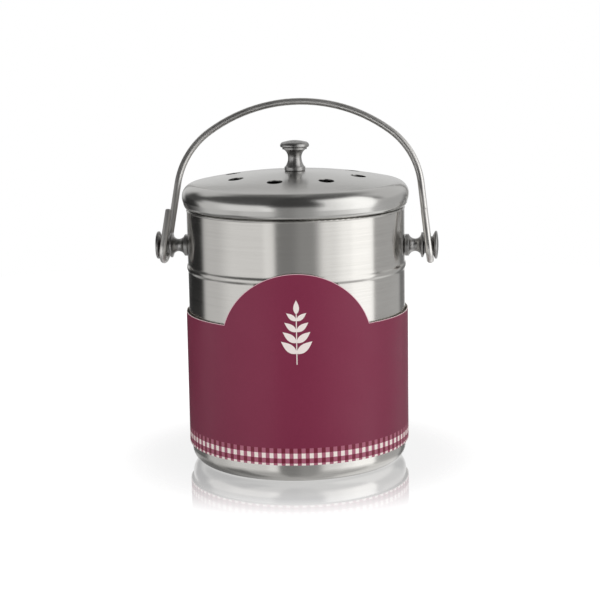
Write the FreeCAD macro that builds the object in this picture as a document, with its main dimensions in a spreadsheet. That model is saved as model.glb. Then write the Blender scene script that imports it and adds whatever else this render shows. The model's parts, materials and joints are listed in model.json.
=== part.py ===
# Kitchen compost bin: drawn steel body, vented lift-off lid, wire bail and card sleeve.
# Origin at the middle of the base on the worktop, +Z up, X along the stud axis, front at -Y.
import FreeCAD, Part
import math
import os
import Sketcher

Vector = FreeCAD.Vector
Rotation = FreeCAD.Rotation

SHEET = "dims"
FULL_TURN = 360
LEFT = 1
RIGHT = -1

# Driving dimensions in millimetres and degrees: alias, value, meaning.
DIMENSIONS = (
    ("body_radius", 66.0, "outside of the drawn wall"),
    ("body_height", 155.2, "worktop to the top of the curled rim"),
    ("wall", 0.6, "sheet of the body"),
    ("foot_radius", 8.0, "rounded corner at the foot"),
    ("base_ring_width", 6.8, "flat ring that the bin stands on"),
    ("base_recess", 1.2, "rise of the panel inside that ring"),
    ("bead_width", 5.9, "height of the bead along the wall, its soft edges included"),
    ("bead_proud", 0.7, "bead beyond the wall"),
    ("rim_roll_radius", 0.8, "section of the curled rim"),
    ("rim_proud", 0.25, "curled rim beyond the wall"),
    ("stud_drop", 23.7, "stud axis below the top of the rim"),
    ("stud_bead_gap", 2.25, "stud flange to the bead below it"),
    ("stud_spigot_radius", 3.95, "short neck against the wall"),
    ("stud_spigot_length", 0.25, "length of that neck"),
    ("stud_flange_radius", 6.6, "inner flange"),
    ("stud_flange_width", 2.3, "inner flange"),
    ("stud_waist_radius", 3.8, "least radius of the concave waist"),
    ("stud_waist_inner", 3.7, "waist, from the flange to its least radius"),
    ("stud_waist_outer", 3.7, "waist, from its least radius to the collar"),
    ("stud_collar_radius", 7.6, "collar inside the groove"),
    ("stud_collar_width", 1.2, "collar, its broken edges included"),
    ("stud_collar_slope", 0.7, "length of the slope from the collar to the groove floor"),
    ("stud_neck_radius", 5.2, "groove floor radius"),
    ("stud_cap_radius", 8.45, "cap rim"),
    ("stud_cap_cone", 1.3, "length of the cap's inner cone"),
    ("stud_cap_land", 1.6, "cap rim, its rounded edges included"),
    ("stud_cap_round", 0.65, "rounded edges of the cap rim"),
    ("stud_cap_crown", 0.75, "domed end beyond the rim"),
    ("turned_edge", 0.4, "broken edges of the turned pieces"),
    ("screw_shank_radius", 1.95, "screw shank"),
    ("screw_head_radius", 3.9, "pan head"),
    ("screw_head_height", 2.2, "pan head"),
    ("screw_head_edge", 1.2, "rounded edge of the pan head"),
    ("screw_engagement", 5.2, "shank inside a stud or the knob"),
    ("screw_hole_spare", 1.2, "blind hole beyond the shank"),
    ("thread_clearance", 0.08, "shank to tapped hole, radial"),
    ("hole_clearance", 0.25, "shank to a drilled hole, radial"),
    ("washer_radius", 5.0, "flat washers"),
    ("washer_thickness", 1.0, "flat washers"),
    ("seat_gap", 0.03, "between seated pieces"),
    ("wire_diameter", 4.2, "bail wire"),
    ("hook_clearance", 0.3, "hook to groove floor, each side"),
    ("groove_clearance", 0.3, "wire to the ends of the groove floor, each side"),
    ("hook_drop", 1.6, "hook bend below the stud axis"),
    ("bail_tail", 18.9, "straight tail above the stud axis"),
    ("bail_leg_lean", 7.1, "legs lean in, degrees"),
    ("bail_rise", 91.4, "crown centreline above the stud axis"),
    ("bail_crown_spread", 13.5, "radius of the crown arc beyond the middle of the groove"),
    ("bail_corner_radius", 48.5, "corner arcs"),
    ("bail_lean_back", 18.0, "rest angle behind upright, degrees"),
    ("lid_seat_gap", 0.05, "lid hem above the rim"),
    ("lid_wall", 0.6, "sheet of the lid"),
    ("lid_overhang", 2.6, "widest part of the lid beyond the body wall"),
    ("lid_edge_height", 7.3, "widest part above the seat"),
    ("lid_height", 21.75, "crown of the dome above the seat"),
    ("lid_shoulder_radius", 8.0, "rounded shoulder"),
    ("lid_hem_radius", 3.4, "rounded hem"),
    ("lid_hem_flat", 0.1, "flat of the hem, out to its rounding"),
    ("vent_count", 8, "vent holes"),
    ("vent_radius", 4.6, "vent hole"),
    ("vent_ring_radius", 39.6, "ring of vent holes"),
    ("lid_turn", 33.5, "vents turned from the front, degrees"),
    ("plug_clearance", 0.4, "plug ring to the mouth"),
    ("plug_wall", 0.6, "sheet of the plug ring"),
    ("plug_depth", 7.0, "plug ring below the seat"),
    ("plug_weld", 3.0, "plug ring above the seat, where the hem is welded"),
    ("knob_flange_radius", 6.3, "knob foot"),
    ("knob_flange_height", 2.4, "knob foot"),
    ("knob_waist_radius", 4.05, "least radius of the knob"),
    ("knob_waist_lower", 5.4, "waist, from the foot to its least radius"),
    ("knob_waist_upper", 5.1, "waist, from its least radius to the flare's end"),
    ("knob_flare_radius", 6.9, "end of the flare under the ring"),
    ("knob_ring_height", 1.15, "small ring between the flare and the cap"),
    ("knob_ring_proud", 0.45, "that ring beyond the end of the flare"),
    ("knob_cap_radius", 8.75, "cap rim"),
    ("knob_cap_ledge", 0.3, "cap's underside beyond the ring"),
    ("knob_cap_under", 0.95, "rounded lower edge of the cap"),
    ("knob_cap_round", 2.1, "rounded upper edge of the cap"),
    ("knob_cap_land", 0.1, "straight part of the cap rim"),
    ("knob_crown", 1.0, "domed top above the rim"),
    ("cage_clearance", 0.25, "cage to the plug ring"),
    ("cage_wall", 1.6, "cage wall"),
    ("cage_height", 9.0, "cage wall, lip included"),
    ("cage_lip", 1.6, "lip under the plug ring"),
    ("cage_floor", 1.8, "grille bars, height"),
    ("cage_bar", 2.2, "grille bars, width"),
    ("cage_spokes", 8, "grille spokes"),
    ("cage_hub_radius", 9.0, "middle disc of the grille"),
    ("cage_inner_ring", 26.0, "first grille ring"),
    ("cage_outer_ring", 44.0, "second grille ring"),
    ("filter_clearance", 0.3, "filter to the cage wall"),
    ("filter_thickness", 6.5, "carbon foam disc"),
    ("filter_edge", 0.8, "rounded edge of the disc"),
    ("sleeve_clearance", 0.5, "card to the bead"),
    ("sleeve_card", 0.45, "card thickness"),
    ("sleeve_bottom", 11.8, "lower edge above the worktop"),
    ("sleeve_tab_over", 5.05, "top of the arched tab above the middle of the bead"),
    ("sleeve_tab_rise", 31.85, "arched tab above the band"),
    ("sleeve_tab_half_width", 42.3, "half the tab where it leaves the band"),
    ("sleeve_turn", 5.5, "tab turned from the front, degrees"),
)


class Size:
    """A number together with the sheet expression that gives it."""

    def __init__(self, value, text):
        self.value = float(value)
        self.text = text

    def joined(self, sign, other, value):
        return Size(value, "({} {} {})".format(self.text, sign, other.text))

    def __add__(self, other):
        other = as_size(other)
        return self.joined("+", other, self.value + other.value)

    def __sub__(self, other):
        other = as_size(other)
        return self.joined("-", other, self.value - other.value)

    def __mul__(self, other):
        other = as_size(other)
        return self.joined("*", other, self.value * other.value)

    def __truediv__(self, other):
        other = as_size(other)
        return self.joined("/", other, self.value / other.value)

    def __neg__(self):
        return as_size(0) - self


def as_size(number):
    return number if isinstance(number, Size) else Size(number, repr(float(number)))


def square(size):
    return size * size


def root(size):
    return Size(math.sqrt(size.value), "sqrt({})".format(size.text))


def bulge_radius(half_chord, rise):
    """Radius of an arc that rises by this much over half its chord."""
    return (square(half_chord) + square(rise)) / (rise * 2)


class Dimensions:
    """The driving sheet, with each alias read back as a Size attribute."""

    def __init__(self, doc):
        sheet = doc.addObject("Spreadsheet::Sheet", SHEET)
        for row, (alias, value, meaning) in enumerate(DIMENSIONS, start=1):
            sheet.set("A{}".format(row), alias)
            sheet.set("B{}".format(row), str(value))
            sheet.set("C{}".format(row), meaning)
            sheet.setAlias("B{}".format(row), alias)
        doc.recompute()
        for alias, _, _ in DIMENSIONS:
            setattr(self, alias, Size(sheet.get(alias), "{}.{}".format(SHEET, alias)))


class Outline:
    """A closed outline in a sketch whose corners and radii are tied to the sheet."""

    def __init__(self, body, name, plane, x, y):
        self.sketch = new_sketch(body, name, plane)
        self.corners = [(x, y)]
        self.edges = []

    def line(self, x, y):
        self.edges.append(None)
        self.corners.append((x, y))

    def arc(self, x, y, radius, turn):
        self.edges.append((radius, turn))
        self.corners.append((x, y))

    def close(self):
        """Draw the outline back to its first corner and tie it to the sheet."""
        self.edges.append(None)
        count = len(self.corners)
        ends = []
        for index, edge in enumerate(self.edges):
            start = as_vector(self.corners[index])
            stop = as_vector(self.corners[(index + 1) % count])
            ends.append(self.draw(start, stop, edge))
        for index in range(count):
            geometry, first, _ = ends[index]
            before, _, last = ends[index - 1]
            constrain(self.sketch, "Coincident", before, last, geometry, first)
            fix_point(self.sketch, geometry, first, *self.corners[index])
        for (geometry, _, _), edge in zip(ends, self.edges):
            if edge:
                tie(self.sketch, edge[0], "Radius", geometry)
        return self.sketch

    def draw(self, start, stop, edge):
        """Add one edge; give its number and which of its ends start and finish it."""
        if edge is None:
            return self.sketch.addGeometry(Part.LineSegment(start, stop)), 1, 2
        radius, turn = edge[0].value, edge[1]
        chord = stop - start
        normal = Vector(-chord.y, chord.x, 0).normalize() * turn
        rise = math.sqrt(max(radius ** 2 - (chord.Length / 2) ** 2, 0))
        centre = (start + stop) / 2 + normal * rise
        angles = [math.atan2(point.y - centre.y, point.x - centre.x) for point in (start, stop)]
        circle = Part.Circle(centre, Vector(0, 0, 1), radius)
        if turn == LEFT:
            return self.sketch.addGeometry(Part.ArcOfCircle(circle, angles[0], angles[1])), 1, 2
        return self.sketch.addGeometry(Part.ArcOfCircle(circle, angles[1], angles[0])), 2, 1


def as_vector(corner):
    return Vector(as_size(corner[0]).value, as_size(corner[1]).value, 0)


def new_body(doc, label):
    body = doc.addObject("PartDesign::Body", label)
    body.Label = label
    return body


def new_sketch(body, name, plane):
    """Make a sketch on one of the body's own origin planes."""
    sketch = body.newObject("Sketcher::SketchObject", name)
    support = next(item for item in body.Origin.OriginFeatures if item.Role == plane)
    sketch.AttachmentSupport = (support, [""])
    sketch.MapMode = "FlatFace"
    return sketch


def constrain(sketch, *rule):
    return sketch.addConstraint(Sketcher.Constraint(*rule))


def tie(sketch, size, *rule):
    """Add a dimension to a sketch and bind it to the sheet."""
    size = as_size(size)
    number = constrain(sketch, *rule, size.value)
    sketch.setExpression("Constraints[{}]".format(number), size.text)


def fix_point(sketch, geometry, end, x, y):
    """Hold a point on an axis of the sketch, or at a distance from it."""
    for value, axis, direction in ((x, -2, "DistanceX"), (y, -1, "DistanceY")):
        if isinstance(value, Size):
            tie(sketch, value, direction, -1, 1, geometry, end)
        else:
            constrain(sketch, "PointOnObject", geometry, end, axis)


def circle_sketch(body, name, plane, x, y, radius):
    sketch = new_sketch(body, name, plane)
    centre = as_vector((x, y))
    geometry = sketch.addGeometry(Part.Circle(centre, Vector(0, 0, 1), radius.value))
    fix_point(sketch, geometry, 3, x, y)
    tie(sketch, radius, "Radius", geometry)
    return sketch


def revolve(body, outline):
    """Turn a closed outline about the upright axis of its sketch."""
    sketch = outline.close()
    turned = body.newObject("PartDesign::Revolution", sketch.Name + "_turned")
    turned.Profile = sketch
    turned.ReferenceAxis = (sketch, ["V_Axis"])
    turned.Angle = FULL_TURN
    return turned


def cut_through(body, sketch, side, backwards=False):
    """Cut a sketch right through the body, on one side of its plane or on both."""
    pocket = body.newObject("PartDesign::Pocket", sketch.Name + "_cut")
    pocket.Profile = sketch
    pocket.Type = "ThroughAll"
    pocket.SideType = side
    pocket.Reversed = backwards
    return pocket


def repeat_round(body, feature, sketch, count):
    pattern = body.newObject("PartDesign::PolarPattern", feature.Name + "_ring")
    pattern.Originals = [feature]
    pattern.Axis = (sketch, ["N_Axis"])
    pattern.Angle = FULL_TURN
    pattern.setExpression("Occurrences", count.text)
    body.Tip = pattern
    return pattern


def place(part, x=0, y=0, z=0, axis=Vector(0, 0, 1), angle=0):
    """Put a part at a point, turned about an axis, with both tied to the sheet."""
    spot = [as_size(value) for value in (x, y, z)]
    turn = as_size(angle)
    part.Placement = FreeCAD.Placement(Vector(*[value.value for value in spot]), Rotation(axis, turn.value))
    for name, value in zip("xyz", spot):
        part.setExpression("Placement.Base." + name, value.text)
    if isinstance(angle, Size):
        part.setExpression("Placement.Rotation.Angle", turn.text)
    return part


def mouth_radius(d):
    """Clear radius inside the curled rim."""
    return d.body_radius + d.rim_proud - d.rim_roll_radius * 2


def stud_height(d):
    return d.body_height - d.stud_drop


def bead_height(d):
    """Middle of the bead, whose upper edge lies just below the stud flanges."""
    return stud_height(d) - d.stud_flange_radius - d.stud_bead_gap - d.bead_width / 2


def groove_middle(d):
    """Middle of the stud's wire groove, from the body's axis."""
    return d.body_radius + groove_start(d) + groove_width(d) / 2


def groove_width(d):
    return d.wire_diameter + d.groove_clearance * 2


def collar_place(d):
    """Near edge of the stud's collar, from the wall."""
    return d.stud_spigot_length + d.stud_flange_width + d.stud_waist_inner + d.stud_waist_outer


def groove_start(d):
    return collar_place(d) + d.stud_collar_width + d.stud_collar_slope


def make_bin_body(doc, d):
    """Drawn body: recessed base, rounded foot, one bead, curled rim, two stud holes."""
    body = new_body(doc, "bin_body")
    inner = d.body_radius - d.wall
    bead_low = bead_height(d) - d.bead_width / 2
    bead_high = bead_height(d) + d.bead_width / 2
    bead_side = d.bead_width / 4
    bead_swell = d.bead_proud / 2
    bead = bulge_radius(bead_side, bead_swell)
    roll = d.rim_roll_radius
    roll_x = mouth_radius(d) + roll
    roll_z = d.body_height - roll
    roll_out = roll_z - root(square(roll) - square(d.body_radius - roll_x))
    roll_in = roll_z - root(square(roll) - square(inner - roll_x))
    step = d.body_radius - d.foot_radius - d.base_ring_width
    panel = step - d.base_recess

    section = Outline(body, "body_section", "XZ_Plane", 0, d.base_recess)
    section.line(panel, d.base_recess)
    section.line(step, 0)
    section.line(d.body_radius - d.foot_radius, 0)
    section.arc(d.body_radius, d.foot_radius, d.foot_radius, LEFT)
    section.line(d.body_radius, bead_low)
    section.arc(d.body_radius + bead_swell, bead_low + bead_side, bead, RIGHT)
    section.arc(d.body_radius + bead_swell, bead_high - bead_side, bead, LEFT)
    section.arc(d.body_radius, bead_high, bead, RIGHT)
    section.line(d.body_radius, roll_out)
    section.arc(roll_x + roll, roll_z, roll, LEFT)
    section.arc(roll_x, d.body_height, roll, LEFT)
    section.arc(mouth_radius(d), roll_z, roll, LEFT)
    section.arc(inner, roll_in, roll, LEFT)
    section.line(inner, bead_high)
    section.arc(inner + bead_swell, bead_high - bead_side, bead, LEFT)
    section.arc(inner + bead_swell, bead_low + bead_side, bead, RIGHT)
    section.arc(inner, bead_low, bead, LEFT)
    section.line(inner, d.foot_radius)
    section.arc(d.body_radius - d.foot_radius, d.wall, d.foot_radius - d.wall, RIGHT)
    section.line(step, d.wall)
    section.line(panel, d.base_recess + d.wall)
    section.line(0, d.base_recess + d.wall)
    revolve(body, section)

    hole = circle_sketch(body, "stud_hole", "YZ_Plane", 0, stud_height(d), drilled_hole(d))
    cut_through(body, hole, "Symmetric")
    return body


def drilled_hole(d):
    return d.screw_shank_radius + d.hole_clearance


def tapped_hole(d):
    return d.screw_shank_radius + d.thread_clearance


def blind_depth(d):
    return d.screw_engagement + d.screw_hole_spare


def turned_piece(body, d):
    """Start a turned piece's outline at the tip of its blind screw hole."""
    section = Outline(body, body.Name + "_section", "XZ_Plane", 0, blind_depth(d) + tapped_hole(d) / 2)
    section.line(tapped_hole(d), blind_depth(d))
    section.line(tapped_hole(d), 0)
    return section


def make_handle_stud(doc, d, label):
    """Turned stud: spigot, flange, concave waist, collar, wire groove and domed cap."""
    body = new_body(doc, label)
    edge = d.turned_edge
    flange_rim = d.stud_flange_radius
    flange_end = d.stud_spigot_length + d.stud_flange_width
    waist_in = bulge_radius(d.stud_waist_inner, flange_rim - edge - d.stud_waist_radius)
    waist_out = bulge_radius(d.stud_waist_outer, d.stud_collar_radius - edge - d.stud_waist_radius)
    collar_end = collar_place(d) + d.stud_collar_width
    groove_end = groove_start(d) + groove_width(d)
    cap_round = d.stud_cap_round
    cap_rim = groove_end + d.stud_cap_cone
    cap_face = cap_rim + d.stud_cap_land

    section = turned_piece(body, d)
    section.line(d.stud_spigot_radius, 0)
    section.line(d.stud_spigot_radius, d.stud_spigot_length)
    section.line(flange_rim - edge, d.stud_spigot_length)
    section.arc(flange_rim, d.stud_spigot_length + edge, edge, LEFT)
    section.line(flange_rim, flange_end - edge)
    section.arc(flange_rim - edge, flange_end, edge, LEFT)
    section.arc(d.stud_waist_radius, flange_end + d.stud_waist_inner, waist_in, RIGHT)
    section.arc(d.stud_collar_radius - edge, collar_place(d), waist_out, RIGHT)
    section.arc(d.stud_collar_radius, collar_place(d) + edge, edge, LEFT)
    section.line(d.stud_collar_radius, collar_end - edge)
    section.arc(d.stud_collar_radius - edge, collar_end, edge, LEFT)
    section.line(d.stud_neck_radius, groove_start(d))
    section.line(d.stud_neck_radius, groove_end)
    section.line(d.stud_cap_radius - cap_round, cap_rim)
    section.arc(d.stud_cap_radius, cap_rim + cap_round, cap_round, LEFT)
    section.line(d.stud_cap_radius, cap_face - cap_round)
    section.arc(d.stud_cap_radius - cap_round, cap_face, cap_round, LEFT)
    crown = bulge_radius(d.stud_cap_radius - cap_round, d.stud_cap_crown)
    section.arc(0, cap_face + d.stud_cap_crown, crown, LEFT)
    revolve(body, section)
    return body


def make_screw(doc, d, label, grip):
    """Pan-head screw: underside of the head at zero, shank upwards through the grip."""
    body = new_body(doc, label)
    tip = grip + d.screw_engagement
    edge = d.turned_edge
    section = Outline(body, label + "_section", "XZ_Plane", 0, -d.screw_head_height)
    section.line(d.screw_head_radius - d.screw_head_edge, -d.screw_head_height)
    section.arc(d.screw_head_radius, d.screw_head_edge - d.screw_head_height, d.screw_head_edge, LEFT)
    section.line(d.screw_head_radius, 0)
    section.line(d.screw_shank_radius, 0)
    section.line(d.screw_shank_radius, tip - edge)
    section.line(d.screw_shank_radius - edge, tip)
    section.line(0, tip)
    revolve(body, section)
    return body


def make_washer(doc, d, label):
    """Flat washer from zero up to its thickness."""
    body = new_body(doc, label)
    section = Outline(body, label + "_section", "XZ_Plane", drilled_hole(d), 0)
    section.line(d.washer_radius, 0)
    section.line(d.washer_radius, d.washer_thickness)
    section.line(drilled_hole(d), d.washer_thickness)
    revolve(body, section)
    return body


def make_stud_set(doc, d):
    """Both studs with the washers and screws that hold them from inside the wall."""
    inner = d.body_radius - d.wall
    washer_face = root(square(inner) - square(d.washer_radius)) - d.seat_gap
    head_face = washer_face - d.washer_thickness
    pieces = []
    for name, hand in (("left", -1), ("right", 1)):
        axis = Vector(0, hand, 0)
        quarter = FULL_TURN / 4
        stud = make_handle_stud(doc, d, name + "_handle_stud")
        pieces.append(place(stud, d.body_radius * hand, 0, stud_height(d), axis, quarter))
        washer = make_washer(doc, d, name + "_stud_washer")
        pieces.append(place(washer, head_face * hand, 0, stud_height(d), axis, quarter))
        screw = make_screw(doc, d, name + "_stud_screw", d.body_radius - head_face)
        pieces.append(place(screw, head_face * hand, 0, stud_height(d), axis, quarter))
    return pieces


def bail_path(d):
    """Centreline of the bail, upright, about the stud axis: tail, hook, leg and crown."""
    lean = math.radians(d.bail_leg_lean.value)
    up = Vector(-math.sin(lean), 0, math.cos(lean))
    inboard = Vector(-math.cos(lean), 0, -math.sin(lean))
    hook = d.stud_neck_radius.value + d.hook_clearance.value + d.wire_diameter.value / 2
    back = Vector(0, hook, 0)
    groove = Vector(groove_middle(d).value, 0, 0)
    bend = groove - up * d.hook_drop.value

    # The corner arc touches the leg and the crown arc, so its centre is one corner radius
    # inboard of the leg and the difference of the radii from the crown's centre.
    corner = d.bail_corner_radius.value
    crown = groove.x + d.bail_crown_spread.value
    crown_centre = Vector(0, 0, d.bail_rise.value - crown)
    from_crown = groove + inboard * corner - crown_centre
    half = from_crown.dot(up)
    along = -half + math.sqrt(half ** 2 - from_crown.dot(from_crown) + (crown - corner) ** 2)
    corner_centre = groove + inboard * corner + up * along
    outwards = (corner_centre - crown_centre).normalize()
    leg_end = corner_centre - inboard * corner + back
    corner_end = crown_centre + outwards * crown + back
    corner_middle = corner_centre + (outwards - inboard).normalize() * corner + back
    apex = Vector(0, 0, d.bail_rise.value) + back

    def mirrored(point):
        return Vector(-point.x, point.y, point.z)

    def line(start, stop):
        return Part.LineSegment(start, stop).toShape()

    def arc(start, middle, stop):
        return Part.Arc(start, middle, stop).toShape()

    tip = groove + up * d.bail_tail.value - back
    half_path = (
        (line, (tip, bend - back)),
        (arc, (bend - back, bend - up * hook, bend + back)),
        (line, (bend + back, leg_end)),
        (arc, (leg_end, corner_middle, corner_end)),
    )
    right = [make(*points) for make, points in half_path]
    left = [make(*[mirrored(point) for point in reversed(points)]) for make, points in reversed(half_path)]
    crown_edge = arc(corner_end, apex, mirrored(corner_end))
    return Part.Wire(right + [crown_edge] + left), ((tip, up), (mirrored(tip), mirrored(up)))


def make_bail_handle(doc, d):
    """Bent wire bail with rounded tail ends, leaning back about the stud axis."""
    path, tails = bail_path(d)
    spine = doc.addObject("Part::Feature", "bail_spine")
    spine.Shape = path
    wire_radius = d.wire_diameter / 2
    upright = Vector(0, 0, 1)

    section = doc.addObject("Part::Circle", "bail_section")
    section.setExpression("Radius", wire_radius.text)
    section.Placement = FreeCAD.Placement(tails[0][0], Rotation(upright, tails[0][1]))
    wire = doc.addObject("Part::Sweep", "bail_wire")
    wire.Sections = [section]
    wire.Spine = (spine, ["Edge{}".format(number + 1) for number in range(len(path.Edges))])
    wire.Solid = True
    shapes = [wire]
    for number, (tip, direction) in enumerate(tails, start=1):
        end = doc.addObject("Part::Sphere", "bail_end_{}".format(number))
        end.setExpression("Radius", wire_radius.text)
        end.Angle1 = 0
        end.Placement = FreeCAD.Placement(tip, Rotation(upright, direction))
        shapes.append(end)
    bail = doc.addObject("Part::MultiFuse", "bail_handle")
    bail.Shapes = shapes
    bail.Refine = True
    bail.Label = "bail_handle"
    return place(bail, 0, 0, stud_height(d), Vector(-1, 0, 0), d.bail_lean_back)


def lid_seat(d):
    return d.body_height + d.lid_seat_gap


def plug_outer(d):
    return mouth_radius(d) - d.plug_clearance


def lid_radius(d):
    return d.body_radius + d.lid_overhang


def lid_dome_radius(d):
    """Dome that meets the shoulder smoothly and has the wanted crown height."""
    across = lid_radius(d) - d.lid_shoulder_radius
    rise = d.lid_height - d.lid_edge_height
    return (square(across) + square(rise) - square(d.lid_shoulder_radius)) / ((rise - d.lid_shoulder_radius) * 2)


def make_lid_shell(doc, d):
    """Domed sheet lid: shoulder, tapered skirt, inward hem, centre hole and vents."""
    body = new_body(doc, "lid_shell")
    seat = lid_seat(d)
    crown = seat + d.lid_height
    dome = lid_dome_radius(d)
    dome_z = crown - dome
    shoulder = d.lid_shoulder_radius
    shoulder_x = lid_radius(d) - shoulder
    shoulder_z = seat + d.lid_edge_height
    reach = dome - shoulder
    touch_x = shoulder_x / reach
    touch_z = (shoulder_z - dome_z) / reach
    hem = d.lid_hem_radius
    hem_x = plug_outer(d) + d.lid_hem_flat
    hem_z = seat + hem

    # The skirt is the straight line that touches the shoulder and the hem from outside.
    inward = hem_x - shoulder_x
    drop = shoulder_z - hem_z
    apart = square(inward) + square(drop)
    shrink = shoulder - hem
    run = root(apart - square(shrink))
    skirt_x = (inward * shrink + drop * run) / apart
    skirt_z = (inward * run - drop * shrink) / apart

    def walk(section, inset, forward):
        """Follow the sheet's outer face, or its inner face at the inset, from crown to hem or back."""
        stops = (
            (0, crown - inset, None),
            (touch_x * (dome - inset), dome_z + touch_z * (dome - inset), dome - inset),
            (shoulder_x + skirt_x * (shoulder - inset), shoulder_z + skirt_z * (shoulder - inset),
             shoulder - inset),
            (hem_x + skirt_x * (hem - inset), hem_z + skirt_z * (hem - inset), None),
            (hem_x, seat + inset, hem - inset),
        )
        if forward:
            for x, z, radius in stops[1:]:
                step_to(section, x, z, radius, RIGHT)
            return
        for (x, z, _), (_, _, radius) in zip(stops[-2::-1], stops[:0:-1]):
            step_to(section, x, z, radius, LEFT)

    section = Outline(body, "lid_section", "XZ_Plane", 0, crown)
    walk(section, as_size(0), True)
    section.line(plug_outer(d), seat)
    section.line(plug_outer(d), seat + d.lid_wall)
    section.line(hem_x, seat + d.lid_wall)
    walk(section, d.lid_wall, False)
    revolve(body, section)

    centre_hole = circle_sketch(body, "knob_hole", "XY_Plane", 0, 0, drilled_hole(d))
    cut_through(body, centre_hole, "Symmetric")
    vent = circle_sketch(body, "vent_hole", "XY_Plane", 0, -d.vent_ring_radius, d.vent_radius)
    repeat_round(body, cut_through(body, vent, "Symmetric"), vent, d.vent_count)
    return place(body, angle=d.lid_turn)


def step_to(section, x, z, radius, turn):
    if radius is None:
        section.line(x, z)
    else:
        section.arc(x, z, radius, turn)


def make_lid_plug_ring(doc, d):
    """Locating ring under the lid, welded to the hem, with a broken lower edge."""
    body = new_body(doc, "lid_plug_ring")
    outer = plug_outer(d)
    inner = outer - d.plug_wall
    low = lid_seat(d) - d.plug_depth
    lead = d.plug_wall / 2
    section = Outline(body, "plug_section", "XZ_Plane", inner, low)
    section.line(outer - lead, low)
    section.arc(outer, low + lead, lead, LEFT)
    section.line(outer, lid_seat(d) + d.plug_weld)
    section.line(inner, lid_seat(d) + d.plug_weld)
    revolve(body, section)
    return body


def make_lid_knob(doc, d):
    """Turned knob: foot flange, concave waist, small ring, round-edged cap with a domed top."""
    body = new_body(doc, "lid_knob")
    edge = d.turned_edge
    foot = d.knob_flange_radius
    waist = d.knob_flange_height + d.knob_waist_lower
    flare = waist + d.knob_waist_upper
    ring = flare + d.knob_ring_height
    cap_under = d.knob_cap_under
    cap_round = d.knob_cap_round
    underside = d.knob_cap_radius - cap_under
    rim_low = ring + cap_under
    rim_high = rim_low + d.knob_cap_land
    rim_top = rim_high + cap_round
    lower = bulge_radius(d.knob_waist_lower, foot - edge - d.knob_waist_radius)
    upper = bulge_radius(d.knob_waist_upper, d.knob_flare_radius - d.knob_waist_radius)
    crown = bulge_radius(d.knob_cap_radius - cap_round, d.knob_crown)

    section = turned_piece(body, d)
    section.line(foot - edge, 0)
    section.arc(foot, edge, edge, LEFT)
    section.line(foot, d.knob_flange_height - edge)
    section.arc(foot - edge, d.knob_flange_height, edge, LEFT)
    section.arc(d.knob_waist_radius, waist, lower, RIGHT)
    section.arc(d.knob_flare_radius, flare, upper, RIGHT)
    section.line(d.knob_flare_radius + d.knob_ring_proud, flare)
    section.line(underside - d.knob_cap_ledge, ring)
    section.line(underside, ring)
    section.arc(d.knob_cap_radius, rim_low, cap_under, LEFT)
    section.line(d.knob_cap_radius, rim_high)
    section.arc(d.knob_cap_radius - cap_round, rim_top, cap_round, LEFT)
    section.arc(0, rim_top + d.knob_crown, crown, LEFT)
    revolve(body, section)
    return place(body, z=lid_seat(d) + d.lid_height)


def make_knob_fixing(doc, d):
    """Washer and screw that hold the knob from under the dome."""
    under = lid_dome_radius(d) - d.lid_wall
    sag = under - root(square(under) - square(d.washer_radius))
    crown = lid_seat(d) + d.lid_height
    head_face = crown - d.lid_wall - sag - d.seat_gap - d.washer_thickness
    washer = place(make_washer(doc, d, "knob_washer"), z=head_face)
    screw = place(make_screw(doc, d, "knob_screw", crown - head_face), z=head_face)
    return [washer, screw]


def cage_inner(d):
    return plug_outer(d) - d.plug_wall - d.cage_clearance - d.cage_wall


def cage_base(d):
    return lid_seat(d) - d.plug_depth - d.seat_gap - d.cage_lip


def make_filter_cage(doc, d):
    """Moulded tray: wall that pushes into the plug ring, lip below it, spoked grille floor."""
    body = new_body(doc, "filter_cage")
    inner = cage_inner(d)
    outer = inner + d.cage_wall
    lead = d.cage_wall / 2
    wall = Outline(body, "cage_wall_section", "XZ_Plane", inner, 0)
    wall.line(plug_outer(d), 0)
    wall.line(plug_outer(d), d.cage_lip)
    wall.line(outer, d.cage_lip)
    wall.line(outer, d.cage_height - lead)
    wall.line(outer - lead, d.cage_height)
    wall.line(inner, d.cage_height)
    revolve(body, wall)

    half_bar = d.cage_bar / 2
    spoke = Outline(body, "cage_spoke", "XY_Plane", 0, -half_bar)
    spoke.line(inner + d.cage_wall / 2, -half_bar)
    spoke.line(inner + d.cage_wall / 2, half_bar)
    spoke.line(0, half_bar)
    spoke_sketch = spoke.close()
    bar = body.newObject("PartDesign::Pad", "cage_bar")
    bar.Profile = spoke_sketch
    bar.setExpression("Length", d.cage_floor.text)
    repeat_round(body, bar, spoke_sketch, d.cage_spokes)

    for name, radius in (("inner_ring", d.cage_inner_ring), ("outer_ring", d.cage_outer_ring)):
        ring = Outline(body, "cage_" + name, "XZ_Plane", radius - half_bar, 0)
        ring.line(radius + half_bar, 0)
        ring.line(radius + half_bar, d.cage_floor)
        ring.line(radius - half_bar, d.cage_floor)
        revolve(body, ring)
    hub = Outline(body, "cage_hub", "XZ_Plane", 0, 0)
    hub.line(d.cage_hub_radius, 0)
    hub.line(d.cage_hub_radius, d.cage_floor)
    hub.line(0, d.cage_floor)
    revolve(body, hub)
    return place(body, z=cage_base(d))


def make_carbon_filter(doc, d):
    """Carbon foam disc lying on the grille inside the cage."""
    body = new_body(doc, "carbon_filter")
    radius = cage_inner(d) - d.filter_clearance
    edge = d.filter_edge
    section = Outline(body, "filter_section", "XZ_Plane", 0, 0)
    section.line(radius - edge, 0)
    section.arc(radius, edge, edge, LEFT)
    section.line(radius, d.filter_thickness - edge)
    section.arc(radius - edge, d.filter_thickness, edge, LEFT)
    section.line(0, d.filter_thickness)
    revolve(body, section)
    return place(body, z=cage_base(d) + d.cage_floor + d.seat_gap)


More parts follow.
